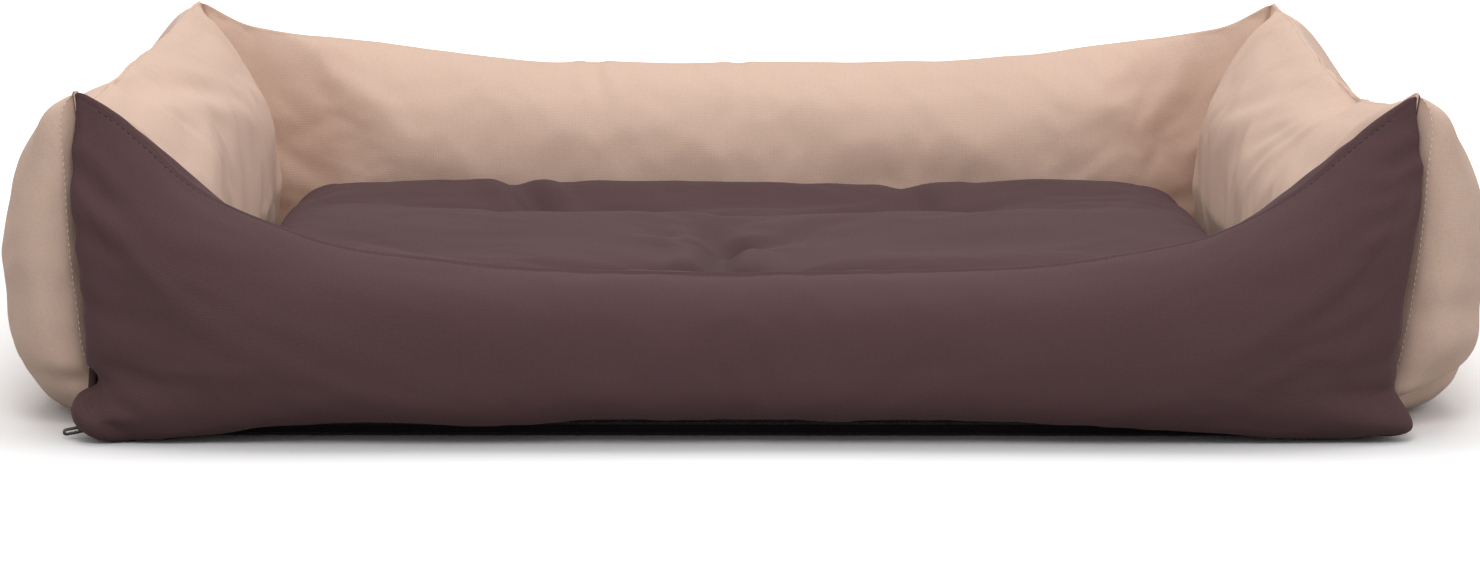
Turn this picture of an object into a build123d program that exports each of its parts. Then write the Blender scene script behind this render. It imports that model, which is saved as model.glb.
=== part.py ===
from build123d import *
import os
from math import cos, radians, sin, tan

# Rectangular dog bed with four stuffed walls and a loose tufted cushion, in millimetres.
# The origin is on the floor under the middle, +X is right seen from the front, the front faces -Y.

# Plan of the walls: the straight ridge lines run from corner peak to corner peak
half_width = 437.5
half_depth = 345.0
side_bulge = 62.5
end_bulge = 55.0
inner_bulge = 78.0

# Height of the corner peaks, and how far each ridge dips below them
peak_height = 228.0
front_dip = 120.0
back_dip = 51.0
side_dip = 22.0

# Cloth
cloth = 1.2
soft_gap = 1.0
ridge_hem = 3.0
ridge_lean = 1.3
ridge_gap = 0.3
mitre_gap = 0.3
base_cloth = 1.5
base_setback = 2.0
base_corner_radius = 12.0
lay_gap = 0.4

# Corner zone, in which the wall swells from the pinched corner seam to its full section
corner_reach = 105.0
corner_shares = (0.0, 0.27, 0.59, 1.0)
corner_angles = (45.0, 38.0, 28.0, 12.0)
corner_swell_shares = (0.0, 0.48, 0.85, 0.98)
run_shares = (0.16, 0.36, 0.58, 0.8, 1.0)

# Height of each ridge between its dip (0) and the corner peaks (1), from one corner to the middle
front_rise_shares = (1.0, 0.81, 0.56, 0.32, 0.15, 0.06, 0.012, 0.0, 0.0)
back_rise_shares = (1.0, 0.68, 0.47, 0.35, 0.24, 0.12, 0.035, 0.0, 0.0)
side_front_rise_shares = (1.0, 0.62, 0.28, 0.1, 0.02, 0.0, 0.0, 0.04, 0.09)
side_back_rise_shares = (1.0, 0.97, 0.92, 0.82, 0.68, 0.48, 0.3, 0.17, 0.09)

# Where the section is widest, as a share of its ridge height
outer_waist_share = 0.45
inner_waist_share = 0.42

# Corner section: how far the corner seam is drawn in at the waist, the low point and the edge
corner_waist_in = 2.0
corner_low_in = 7.0
corner_low_height = 30.0
corner_edge_in = 10.0
corner_edge_height = 3.0
front_corner_edge_in = 8.5
front_corner_edge_height = 20.0
front_corner_low_height = 70.0

# Lower roll of the side and back walls, which lie on the base
roll_low_out = 30.0
roll_low_height = 13.0
roll_edge_in = 4.0
roll_edge_height = 2.2

# Inner panels: their lower edge lies this far out of their widest line
inner_edge_setback = 10.0
fill_drop = 7.0
fill_top_in = 6.0
fill_foot_in = 6.0

# Zip under the front edge, on a strip that faces forward and down
zip_out = 4.0
zip_height = 11.0
zip_face_angle = 40.0
zip_half_length = 425.0
coil_inner = 0.75
coil_outer = 2.9
coil_web = 0.7
coil_thickness = 2.2
coil_corner_share = 0.3
tape_thickness = 0.6
tape_overhang = 4.0
upper_tape_width = 5.5
lower_tape_width = 12.0
tape_seat = 0.7
front_low_out = 38.0
front_low_height = 15.0

# Slider and pull
slider_length = 11.0
slider_front_width = 9.5
slider_shoulder_share = 0.1
slider_rear_width = 8.4
slider_plate = 1.1
slider_channel = 3.0
slider_flange = 1.05
slider_slot = 1.4
slider_post = 0.9
slider_post_length = 3.0
slider_overrun = 1.5
slider_corner_radius = 1.0
slider_post_inset = 0.5
bridge_length = 7.6
bridge_width = 2.2
bridge_bar = 0.9
bridge_opening = 1.9
bridge_post = 1.1
bridge_corner_radius = 1.2
pull_length = 27.0
pull_width = 6.2
pull_neck_width = 5.0
pull_neck_length = 7.0
pull_flare_length = 5.0
pull_thickness = 1.3
pull_bar_radius = 0.7
pull_eye_length = 4.4
pull_eye_width = 3.0
pull_hole_length = 9.0
pull_hole_width = 3.0
pull_hole_margin = 1.6
pull_droop = 15.0
stop_length = 1.8
stop_thickness = 2.6
stop_gap = 0.5

# Loose cushion
cushion_clearance = 3.5
cushion_height = 102.0
seam_height = 47.0
cushion_pull_in = 9.0
cushion_place_shares = (1.0, 0.92, 0.8, 0.64, 0.44, 0.22, 0.0)
crown_swell_shares = (0.16, 0.56, 0.8, 0.93, 0.98, 1.0, 1.0)
under_swell_shares = (0.16, 0.66, 0.92, 1.0, 1.0, 1.0, 1.0)
shoulder_height_share = 0.82
shoulder_run_share = 0.7
under_run_share = 0.75

# Tufts: a stitch draws the cushion in from above and a little from below
tuft_place_shares = ((-0.41, 0.5), (0.41, 0.5), (0.0, -0.5))
tuft_depth = 27.0
tuft_reach = 62.0
tuft_eye = 4.5
under_tuft_depth = 7.0
under_tuft_reach = 32.0
stitch_diameter = 2.0
stitch_hole_gap = 0.5
stitch_bar_length = 7.0
stitch_bar_thickness = 1.2
overrun = 5.0


class Wall:
    """One stuffed wall: where its ridge line runs, its sections and its ridge heights."""

    def __init__(self, name, middle, along, half_length, bulge, dip, rises, front=False):
        self.name = name
        self.middle = Vector(*middle)
        self.along = Vector(*along)
        self.outward = self.along.cross(Vector(0, 0, 1))
        self.half_length = half_length
        self.bulge = bulge
        self.front = front
        self.stations = self.make_stations(dip, rises)

    def make_stations(self, dip, rises):
        """Places, fan angles, ridge heights and swells from one corner to the other."""
        run = self.half_length - corner_reach
        places = [mitre_gap + corner_reach * share for share in corner_shares]
        places += [corner_reach + run * share for share in run_shares]
        angles = list(corner_angles) + [0.0] * len(run_shares)
        swells = list(corner_swell_shares) + [1.0] * len(run_shares)
        stations = []
        for sign, rise_shares in ((-1, rises[0]), (1, rises[1])):
            half = []
            for place, angle, swell, rise in zip(places, angles, swells, rise_shares):
                height = peak_height - dip * (1 - rise)
                half.append((sign * (self.half_length - place), sign * angle, swell, height))
            stations.append(half)
        return stations[0] + stations[1][-2::-1]

    def plane(self, place, angle):
        """Upright section plane through the ridge line; its x axis leaves the bed."""
        across = self.outward * cos(radians(angle)) + self.along * sin(radians(angle))
        origin = self.middle + self.along * place
        return Plane(origin=origin, x_dir=across, z_dir=across.cross(Vector(0, 0, 1)))


def blend(corner, middle, swell):
    """A section value on its way from the pinched corner to the full wall."""
    return corner + (middle - corner) * swell


def outer_points(wall, angle, swell, height):
    """Top, widest, low and edge points of the outer face in a section."""
    stretch = 1 / cos(radians(angle))
    waist = outer_waist_share * height
    widest = (blend(-corner_waist_in, wall.bulge, swell) * stretch, waist)
    if wall.front:
        low_out, low_height = front_low_out, front_low_height
        edge_out, edge_height = panel_edge_out, panel_edge_height
        corner_edge = (-front_corner_edge_in, front_corner_edge_height)
        corner_low = front_corner_low_height
    else:
        low_out, low_height = roll_low_out, roll_low_height
        edge_out, edge_height = -roll_edge_in, roll_edge_height
        corner_edge = (-corner_edge_in, corner_edge_height)
        corner_low = corner_low_height
    low = (
        blend(-corner_low_in, low_out, swell) * stretch,
        blend(corner_low, low_height, swell),
    )
    edge = (
        blend(corner_edge[0], edge_out, swell) * stretch,
        blend(corner_edge[1], edge_height, swell),
    )
    return (ridge_gap / 2, height), widest, low, edge


def inner_points(angle, height):
    """Top, widest and edge points of the inner face in a section."""
    stretch = 1 / cos(radians(angle))
    widest = (-inner_bulge * stretch, inner_waist_share * height)
    edge = ((inner_edge_setback - inner_bulge) * stretch, base_cloth + lay_gap)
    return (-ridge_gap / 2, height), widest, edge


def filling_foot(wall, angle, swell, edge):
    """The two lower outer corners of a filling, which stay behind the zip on the front wall."""
    stretch = 1 / cos(radians(angle))
    inside = cloth + soft_gap
    if wall.front:
        corner = -front_corner_edge_in - inside
        shoulder = (
            blend(corner, shoulder_out, swell) * stretch,
            blend(front_corner_edge_height + inside, shoulder_height, swell),
        )
        foot_out = blend(corner - fill_foot_in, foot_middle_out, swell)
    else:
        shoulder = (edge[0] - blend(inside, 0, swell) * stretch, edge[1] + inside)
        foot_out = blend(-corner_edge_in, -roll_edge_in, swell) - fill_foot_in
    return shoulder, (foot_out * stretch, foot_height)


def draw_outer_face(top, widest, low, edge):
    """Upper arc, lower arc and roll of an outer face, upright at its widest."""
    TangentArc(widest, top, tangent=(0, 1))
    lower = TangentArc(widest, low, tangent=(0, -1))
    return TangentArc(low, edge, tangent=lower % 1), lower


def step_in(point, tangent, amount):
    """A point moved to the left of a travel direction, which is into the wall."""
    inward = Vector(tangent.Y, -tangent.X) * amount
    return (point[0] + inward.X, point[1] + inward.Y)


def outer_panel(wall):
    """Cloth of the outer face, lofted from corner seam to corner seam."""
    with BuildPart() as panel:
        for place, angle, swell, height in wall.stations:
            top, widest, low, edge = outer_points(wall, angle, swell, height)
            with BuildSketch(wall.plane(place, angle)):
                with BuildLine():
                    roll, lower = draw_outer_face(top, widest, low, edge)
                    inner_edge = step_in(edge, roll % 1, cloth)
                    inner_low = step_in(low, lower % 1, cloth)
                    inner_top = (top[0] - ridge_lean, height - ridge_hem)
                    draw_outer_face(inner_top, (widest[0] - cloth, widest[1]), inner_low, inner_edge)
                    Line(edge, inner_edge)
                    Line(top, inner_top)
                make_face()
        loft()
    return panel.part


def inner_panel(wall):
    """Cloth of the inner face, from the ridge down to the base."""
    with BuildPart() as panel:
        for place, angle, swell, height in wall.stations:
            top, widest, edge = inner_points(angle, height)
            with BuildSketch(wall.plane(place, angle)):
                with BuildLine():
                    TangentArc(widest, top, tangent=(0, 1))
                    TangentArc(widest, edge, tangent=(0, -1))
                    inner_top = (top[0] - ridge_lean, height - ridge_hem)
                    inner_widest = (widest[0] + cloth, widest[1])
                    inner_edge = (edge[0] + cloth, edge[1])
                    TangentArc(inner_widest, inner_top, tangent=(0, 1))
                    TangentArc(inner_widest, inner_edge, tangent=(0, -1))
                    Line(edge, inner_edge)
                    Line(top, inner_top)
                make_face()
        loft()
    return panel.part


def wall_filling(wall):
    """Stuffing of a wall, a little inside its cloth and flat on the base."""
    inside = cloth + soft_gap
    with BuildPart() as filling:
        for place, angle, swell, height in wall.stations:
            top, widest, low, edge = outer_points(wall, angle, swell, height)
            far_top, far_widest, far_edge = inner_points(angle, height)
            shoulder, foot = filling_foot(wall, angle, swell, edge)
            with BuildSketch(wall.plane(place, angle)):
                with BuildLine():
                    crest = (-fill_top_in, height - fill_drop)
                    waist = (widest[0] - inside, widest[1])
                    guide = TangentArc(widest, low, tangent=(0, -1), mode=Mode.PRIVATE)
                    inner_low = step_in(low, guide % 1, inside)
                    TangentArc(waist, crest, tangent=(0, 1))
                    lower = TangentArc(waist, inner_low, tangent=(0, -1))
                    TangentArc(inner_low, shoulder, tangent=lower % 1)
                    Line(shoulder, foot)
                    heel = (far_edge[0] + inside, foot[1])
                    Line(foot, heel)
                    far_waist = (far_widest[0] + inside, far_widest[1])
                    TangentArc(far_waist, heel, tangent=(0, -1))
                    TangentArc(far_waist, crest, tangent=(0, 1))
                make_face()
        loft()
    return filling.part


# Directions of the zip strip in a section: up along the strip and out of its face
strip_up = (sin(radians(zip_face_angle)), cos(radians(zip_face_angle)))
strip_out = (cos(radians(zip_face_angle)), -sin(radians(zip_face_angle)))
panel_edge_out = zip_out + (upper_tape_width + tape_seat) * strip_up[0]
panel_edge_height = zip_height + (upper_tape_width + tape_seat) * strip_up[1]
behind_zip = slider_channel / 2 + slider_plate + tape_seat + lay_gap
shoulder_out = zip_out + slider_front_width * strip_up[0] - behind_zip * strip_out[0]
shoulder_height = zip_height + slider_front_width * strip_up[1] - behind_zip * strip_out[1]
foot_height = base_cloth + 2 * lay_gap
foot_middle_out = shoulder_out - (shoulder_height - foot_height) * tan(radians(zip_face_angle))

front_rises = (front_rise_shares, front_rise_shares)
back_rises = (back_rise_shares, back_rise_shares)
left_rises = (side_back_rise_shares, side_front_rise_shares)
right_rises = (side_front_rise_shares, side_back_rise_shares)

walls = [
    Wall("front", (0, -half_depth, 0), (1, 0, 0), half_width, end_bulge,
         front_dip, front_rises, front=True),
    Wall("right", (half_width, 0, 0), (0, 1, 0), half_depth, side_bulge,
         side_dip, right_rises),
    Wall("back", (0, half_depth, 0), (-1, 0, 0), half_width, end_bulge,
         back_dip, back_rises),
    Wall("left", (-half_width, 0, 0), (0, -1, 0), half_depth, side_bulge,
         side_dip, left_rises),
]

os.makedirs("parts", exist_ok=True)


def save(part, label):
    """Name a finished piece and write its file."""
    part.label = label
    export_step(part, f"parts/{label}.step")


for wall in walls:
    save(outer_panel(wall), f"{wall.name}_outer_panel")
    save(inner_panel(wall), f"{wall.name}_inner_panel")
    save(wall_filling(wall), f"{wall.name}_wall_filling")


# Base panel
with BuildPart() as base_panel:
    with BuildSketch():
        RectangleRounded(
            2 * (half_width - base_setback), 2 * (half_depth - base_setback), base_corner_radius
        )
    extrude(amount=base_cloth)
save(base_panel.part, "base_panel")


# Zip: every piece is drawn on the strip, x along the zip, y up the strip, z out of its face
strip_up_3d = Vector(0, -strip_up[0], strip_up[1])
strip_out_3d = Vector(0, -strip_out[0], strip_out[1])
strip_middle = Vector(0, -half_depth - zip_out, zip_height)


def strip_plane(place, lift=0.0):
    """Plane on the zip strip at a place along it, lifted out of its face."""
    origin = strip_middle + Vector(place, 0, 0) + strip_out_3d * lift
    return Plane(origin=origin, x_dir=(1, 0, 0), z_dir=strip_out_3d)


def zip_tape(side, width):
    """Woven tape of one side, from inside the coil to the sewn edge."""
    start = coil_inner + coil_web
    with BuildPart() as tape:
        with BuildSketch(strip_plane(0, -tape_thickness / 2)):
            with Locations((0, side * (start + width) / 2)):
                Rectangle(2 * (zip_half_length + tape_overhang), width - start)
        extrude(amount=tape_thickness)
    return tape.part


def zip_section(place):
    """Plane across the zip, x up the strip."""
    return Plane(origin=strip_plane(place).origin, x_dir=strip_up_3d, z_dir=(1, 0, 0))


def draw_row(side, thickness):
    """Section of one row, a rounded bar that holds the edge of its tape in a slot."""
    width = coil_outer - coil_inner
    with Locations((side * (coil_inner + coil_outer) / 2, 0)):
        RectangleRounded(width, thickness, width * coil_corner_share)
    with Locations((side * (coil_inner + coil_web + width / 2), 0)):
        Rectangle(width, tape_thickness, mode=Mode.SUBTRACT)


def zip_coil(side):
    """Closed row of coil on one tape."""
    with BuildPart() as coil:
        with BuildSketch(zip_section(-zip_half_length)):
            draw_row(side, coil_thickness)
        extrude(amount=2 * zip_half_length)
    return coil.part


save(zip_tape(1, upper_tape_width), "upper_zip_tape")
save(zip_tape(-1, lower_tape_width), "lower_zip_tape")
save(zip_coil(1), "upper_zip_coil")
save(zip_coil(-1), "lower_zip_coil")

# End stops: one on each row past the closed slider, one across both rows at the far end
slider_rest = -zip_half_length + slider_length / 2 - slider_overrun
closed_stop = slider_rest - slider_length / 2 - stop_gap - stop_length
with BuildPart() as end_stops:
    with BuildSketch(zip_section(closed_stop)):
        for side in (-1, 1):
            draw_row(side, stop_thickness)
    extrude(amount=stop_length)
    with BuildSketch(zip_section(zip_half_length + stop_gap)):
        Rectangle(2 * (coil_inner + coil_web), stop_thickness)
        for side in (-1, 1):
            draw_row(side, stop_thickness)
    extrude(amount=stop_length)
save(end_stops.part, "zip_end_stops")

# Slider: two plates with flanges over the rows, a post between the rows and the bridge for the pull
plate_start = slider_channel / 2
bridge_base = plate_start + slider_plate
bar_lift = bridge_base + bridge_opening / 2
flange_depth = (slider_channel - slider_slot) / 2
front = slider_front_width / 2
rear = slider_rear_width / 2
nose = -slider_length / 2
shoulder = -slider_length * slider_shoulder_share

with BuildPart() as slider:
    for plate_lift, flange_lift in (
        (plate_start, slider_slot / 2),
        (-bridge_base, -plate_start),
    ):
        with BuildSketch(strip_plane(slider_rest, plate_lift)) as plate:
            with BuildLine():
                Polyline(
                    (nose, -front), (shoulder, -front), (-nose, -rear),
                    (-nose, rear), (shoulder, front), (nose, front), close=True,
                )
            make_face()
            fillet(plate.vertices(), slider_corner_radius)
        extrude(amount=slider_plate)
        with BuildSketch(strip_plane(slider_rest, flange_lift)):
            for side in (-1, 1):
                with Locations((0, side * (rear - slider_flange / 2))):
                    Rectangle(slider_length - 2 * slider_corner_radius, slider_flange)
        extrude(amount=flange_depth)
    with BuildSketch(strip_plane(slider_rest, -plate_start)):
        with Locations((nose + slider_post_inset + slider_post_length / 2, 0)):
            Rectangle(slider_post_length, slider_post)
    extrude(amount=slider_channel)
    bridge_side = Plane(
        origin=strip_plane(slider_rest, bridge_base).origin, x_dir=(1, 0, 0), z_dir=-strip_up_3d
    )
    with BuildSketch(bridge_side) as bridge:
        Rectangle(
            bridge_length, bridge_opening + bridge_bar, align=(Align.CENTER, Align.MIN)
        )
        fillet(bridge.vertices().group_by(Axis.Y)[-1], bridge_corner_radius)
        Rectangle(
            bridge_length - 2 * bridge_post, bridge_opening,
            align=(Align.CENTER, Align.MIN), mode=Mode.SUBTRACT,
        )
    extrude(amount=bridge_width / 2, both=True)
save(slider.part, "zip_slider")

# Pull: a flat tab whose cross bar lies under the bridge, drooping towards the floor
droop = radians(pull_droop)
pull_plane = Plane(
    origin=strip_plane(slider_rest, bar_lift).origin,
    x_dir=Vector(1, 0, 0) * cos(droop) - strip_out_3d * sin(droop),
    z_dir=Vector(1, 0, 0) * sin(droop) + strip_out_3d * cos(droop),
)
neck = pull_neck_width / 2
tip = pull_width / 2
flare_end = pull_neck_length + pull_flare_length

with BuildPart() as pull:
    with BuildSketch(pull_plane.offset(-pull_thickness / 2)):
        with BuildLine():
            Polyline(
                (tip - pull_length, -tip), (-flare_end, -tip), (-pull_neck_length, -neck),
                (0, -neck), (0, neck), (-pull_neck_length, neck), (-flare_end, tip),
                (tip - pull_length, tip),
            )
            ThreePointArc((tip - pull_length, tip), (-pull_length, 0), (tip - pull_length, -tip))
        make_face()
        with Locations((-pull_eye_length / 2, 0)):
            Rectangle(pull_eye_length, pull_eye_width, mode=Mode.SUBTRACT)
        with Locations((pull_hole_margin + pull_hole_length / 2 - pull_length, 0)):
            SlotOverall(pull_hole_length, pull_hole_width, mode=Mode.SUBTRACT)
    extrude(amount=pull_thickness)
    bar_end = Plane(
        origin=pull_plane.origin - pull_plane.y_dir * neck,
        x_dir=pull_plane.x_dir, z_dir=pull_plane.y_dir,
    )
    with BuildSketch(bar_end):
        Circle(pull_bar_radius)
    extrude(amount=pull_neck_width)
save(pull.part, "zip_pull")


# Loose cushion
cushion_half_width = half_width - inner_bulge - cushion_clearance
cushion_half_depth = half_depth - inner_bulge - cushion_clearance
cushion_foot = base_cloth + lay_gap
tuft_places = [
    (cushion_half_width * share_x, cushion_half_depth * share_y)
    for share_x, share_y in tuft_place_shares
]


def cushion_stations(depth):
    """Places along the cushion with half depth, crown and underside, a depth inside the surface."""
    stations = []
    for place, crown, under in zip(cushion_place_shares, crown_swell_shares, under_swell_shares):
        half_y = cushion_half_depth - depth - cushion_pull_in * (1 - place**2)
        top = seam_height + (cushion_height - seam_height) * crown - depth
        foot = seam_height - (seam_height - cushion_foot) * under + depth
        stations.append((place * (cushion_half_width - depth), half_y, top, foot))
    mirrored = [(-place, *rest) for place, *rest in stations[:-1]]
    return mirrored + stations[::-1]


def draw_cushion_section(half_y, top, foot):
    """Section across the cushion: crown, two rounded sides drawn to the seam, flat underside."""
    rise = top - seam_height
    fall = seam_height - foot
    shoulder_y = half_y - rise * shoulder_run_share
    shoulder_z = seam_height + rise * shoulder_height_share
    foot_y = half_y - fall * under_run_share
    ThreePointArc((-shoulder_y, shoulder_z), (0, top), (shoulder_y, shoulder_z))
    Line((-foot_y, foot), (foot_y, foot))
    for side in (-1, 1):
        seam = (side * half_y, seam_height)
        TangentArc(seam, (side * shoulder_y, shoulder_z), tangent=(0, 1))
        TangentArc(seam, (side * foot_y, foot), tangent=(0, -1))


def cushion_body(depth):
    """The cushion's full form, a given depth inside its outer surface, tufts included."""
    top, foot = cushion_height - depth, cushion_foot + depth
    half_x, half_y = cushion_half_width - depth, cushion_half_depth
    with BuildPart() as body:
        for place, *section in cushion_stations(depth):
            with BuildSketch(Plane.YZ.offset(place)):
                with BuildLine():
                    draw_cushion_section(*section)
                make_face()
        loft()
        # The ends are drawn in too, by wide circles that pass through the corners
        end_radius = (half_y**2 + cushion_pull_in**2) / (2 * cushion_pull_in)
        end_middle = half_x - cushion_pull_in + end_radius
        with BuildSketch():
            with Locations((-end_middle, 0), (end_middle, 0)):
                Circle(end_radius)
        extrude(amount=cushion_height, mode=Mode.SUBTRACT)
        for place_x, place_y in tuft_places:
            upright = Plane(origin=(place_x, place_y, 0), x_dir=(1, 0, 0), z_dir=(0, -1, 0))
            for level, way, reach, drop in (
                (top, 1, tuft_reach, tuft_depth),
                (foot, -1, under_tuft_reach, under_tuft_depth),
            ):
                eye = tuft_eye + depth
                with BuildSketch(upright):
                    with BuildLine():
                        TangentArc((reach, level), (eye, level - way * drop), tangent=(-1, 0))
                        Polyline(
                            (eye, level - way * drop),
                            (0, level - way * drop),
                            (0, level + way * overrun),
                            (reach, level + way * overrun),
                            (reach, level),
                        )
                    make_face()
                revolve(axis=Axis((place_x, place_y, 0), (0, 0, 1)), mode=Mode.SUBTRACT)
    return body.part


with BuildPart() as stitch_bores:
    with BuildSketch(Plane.XY.offset(-overrun)):
        with Locations(*tuft_places):
            Circle(stitch_diameter / 2 + stitch_hole_gap)
    extrude(amount=cushion_height + 2 * overrun)

cushion_outside = cushion_body(0)
cushion_inside = cushion_body(cloth)
seam_plane = Plane.XY.offset(seam_height)

for label, keep in (("cushion_top_panel", Keep.TOP), ("cushion_bottom_panel", Keep.BOTTOM)):
    with BuildPart() as cover:
        add(cushion_outside)
        add(cushion_inside, mode=Mode.SUBTRACT)
        split(bisect_by=seam_plane, keep=keep)
        add(stitch_bores.part, mode=Mode.SUBTRACT)
    save(cover.part, label)

with BuildPart() as cushion_filling:
    add(cushion_body(cloth + lay_gap))
    add(stitch_bores.part, mode=Mode.SUBTRACT)
save(cushion_filling.part, "cushion_filling")

stitch_top = cushion_height - tuft_depth + lay_gap
stitch_foot = cushion_foot + under_tuft_depth - lay_gap - stitch_bar_thickness
with BuildPart() as tuft_stitches:
    for level in (stitch_top, stitch_foot):
        with BuildSketch(Plane.XY.offset(level)):
            with Locations(*tuft_places):
                Rectangle(stitch_bar_length, stitch_diameter)
                Rectangle(stitch_diameter, stitch_bar_length)
        extrude(amount=stitch_bar_thickness)
    with BuildSketch(Plane.XY.offset(stitch_foot)):
        with Locations(*tuft_places):
            Circle(stitch_diameter / 2)
    extrude(amount=stitch_top + stitch_bar_thickness - stitch_foot)
save(tuft_stitches.part, "tuft_stitches")
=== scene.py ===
import math

import bpy
import numpy as np
from mathutils import Euler, Matrix, Vector


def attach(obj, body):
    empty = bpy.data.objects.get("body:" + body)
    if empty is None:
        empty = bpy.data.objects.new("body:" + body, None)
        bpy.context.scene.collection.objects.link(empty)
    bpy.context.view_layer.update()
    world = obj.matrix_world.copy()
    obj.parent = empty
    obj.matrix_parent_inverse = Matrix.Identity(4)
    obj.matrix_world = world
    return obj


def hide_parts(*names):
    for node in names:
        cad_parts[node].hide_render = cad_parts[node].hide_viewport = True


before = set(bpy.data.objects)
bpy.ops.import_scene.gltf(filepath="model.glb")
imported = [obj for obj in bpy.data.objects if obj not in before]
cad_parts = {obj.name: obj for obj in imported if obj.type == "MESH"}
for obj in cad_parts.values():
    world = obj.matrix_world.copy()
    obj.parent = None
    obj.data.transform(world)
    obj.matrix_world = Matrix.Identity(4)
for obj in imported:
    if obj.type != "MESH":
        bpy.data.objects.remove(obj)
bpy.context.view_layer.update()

# The dog bed is drawn in millimetres, in the frame of the CAD, and scaled to metres in make_mesh.
MM = 0.001
HALF_X, HALF_Y = 437.5, 345.0
PEAK = 228.0
FLOOR_LIFT = 2.0
INNER_BULGE = 76.0


def smooth(t):
    """A soft step from 0 to 1."""
    t = np.clip(t, 0.0, 1.0)
    return t * t * (3 - 2 * t)


def curve(points, soften=9.0):
    """A smooth function close to measured (place, value) pairs."""
    places, values = (np.array(column, float) for column in zip(*points))
    fine = np.arange(places[0], places[-1] + 1.0, 1.0)
    level = np.interp(fine, places, values)
    reach = int(3 * soften)
    kernel = np.exp(-0.5 * (np.arange(-reach, reach + 1) / soften) ** 2)
    kernel /= kernel.sum()
    before = 2 * level[0] - level[reach:0:-1]
    after = level[-2:-reach - 2:-1]
    level = np.convolve(np.concatenate([before, level, after]), kernel, "valid")
    return lambda x: np.interp(x, fine, level)


# Ridge heights: distance from the corner peak and height
RIDGES = {
    "front_left": [(0, 228), (19, 217), (39, 201), (53, 186), (65, 173), (83, 159), (109, 146),
                   (132, 137), (152, 129), (181, 121), (215, 116), (254, 112.6), (330, 109), (438, 108)],
    "front_right": [(0, 227), (19, 213), (33, 202), (44, 192), (53, 184), (70, 168), (95, 151),
                    (130, 133), (155, 125), (197, 118), (222, 114), (254, 111), (330, 109), (438, 108)],
    "back": [(0, 228), (12, 221), (35, 208), (59, 203), (86, 198), (130, 193), (187, 186),
             (265, 180), (340, 178), (438, 177)],
    "left_front": [(0, 228), (40, 216), (80, 210), (116, 209), (160, 213), (231, 215), (345, 217)],
    "left_back": [(0, 228), (60, 226), (120, 223), (180, 220), (260, 218), (345, 217)],
    "right_front": [(0, 228), (20, 222), (40, 216), (80, 209), (120, 204), (170, 198), (218, 195),
                    (260, 196), (345, 200)],
    "right_back": [(0, 228), (49, 225), (100, 223), (140, 219), (188, 212), (260, 205), (345, 200)],
}

# Inner corner seams: height and how far the seam lies in from the peak, on each axis
INNER_SEAMS = {
    "left": [(0, 20), (30, 23), (64, 25), (98, 25), (127, 23), (153, 20), (178, 15), (206, 9), (228, 0)],
    "right": [(0, 22), (30, 26), (64, 28), (98, 28), (127, 26), (149, 23), (177, 18), (206, 10), (228, 0)],
}

# Outer corner seams: height and how far the seam lies in from the peak
OUTER_SEAMS = {
    "front_left": [(0, 3), (8, 3), (20, 7), (30, 12), (37, 14), (60, 10.5), (90, 8.5), (120, 5), (150, 3),
                   (190, 1), (228, 0)],
    "front_right": [(0, 8), (14, 10), (28, 14.5), (40, 16), (58, 14.5), (88, 11), (108, 8), (157, 3),
                    (190, 1), (228, 0)],
    "back": [(0, 2), (12, 4), (30, 8), (60, 8), (120, 5), (170, 2), (228, 0)],
}

# How far from a corner a wall's sections fan out to the mitre, and its stuffing comes to its full form
FAN_REACH = 150.0
SWELL_REACH = 118.0
# Steps along a wall: the first at a corner, its growth and the longest
FIRST_STEP, STEP_GROWTH, LONGEST_STEP = 1.4, 1.07, 6.0
# Points of a section: fine steps below the ridge, then even ones, outside, inside and under the wall
FINE_STEPS = np.array([0, 1.0, 2.0, 3.0, 4.2, 6.0, 8.5, 12.0])
OUTER_COUNT, INNER_COUNT, HEEL_COUNT = 58, 48, 12
# Distance over which the slope below the ridge comes in
SLOPE_BLEND = 130
# Crown, a fullness below the ridge near a corner: distance to full, and reach below the ridge
CROWN_RISE, CROWN_REACH = 26.0, 42
# Puff, a fullness near the floor at a corner: distance to full and top at either end, and fade above it
PUFF_RISE, PUFF_TOP, PUFF_FADE = (52.0, 34.0), (20, 14), 22
# Tuck, a hollow near the floor beside a corner: its top, its place along the wall and its width
TUCK_TOP, TUCK_PLACE, TUCK_WIDTH = 62, 52, 42
# Seams beside the ridge, at full depth this far from a corner: groove outside and hem inside
SEAM_START = 6.0
GROOVE_DEPTH, GROOVE_PLACE, GROOVE_WIDTH = 1.7, 3.4, 1.2
HEM_HEIGHT, HEM_PLACE, HEM_WIDTH = 1.4, 1.0, 1.8
# Inner face: height of its widest line as a share of the ridge's, distance from a corner at which it is
# round, and how far it draws in at the base
INNER_WIDEST, INNER_CHANGE, INNER_CUT = 0.40, 165.0, 11
# Height of the lower end of an outer corner seam
CORNER_FOOT = 1.2


def running_length(line):
    """Length along a line of points, up to each of them."""
    return np.concatenate([[0], np.cumsum(np.linalg.norm(np.diff(line, axis=0), axis=1))])


def resample(line, fine, count):
    """The same line with count points: absolute small steps at its start, then even ones."""
    run = running_length(line)
    rest = fine[-1] + (run[-1] - fine[-1]) * np.linspace(0, 1, count - len(fine) + 1)[1:]
    where = np.concatenate([fine, rest])
    return np.stack([np.interp(where, run, line[:, k]) for k in (0, 1)], 1), where


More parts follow.
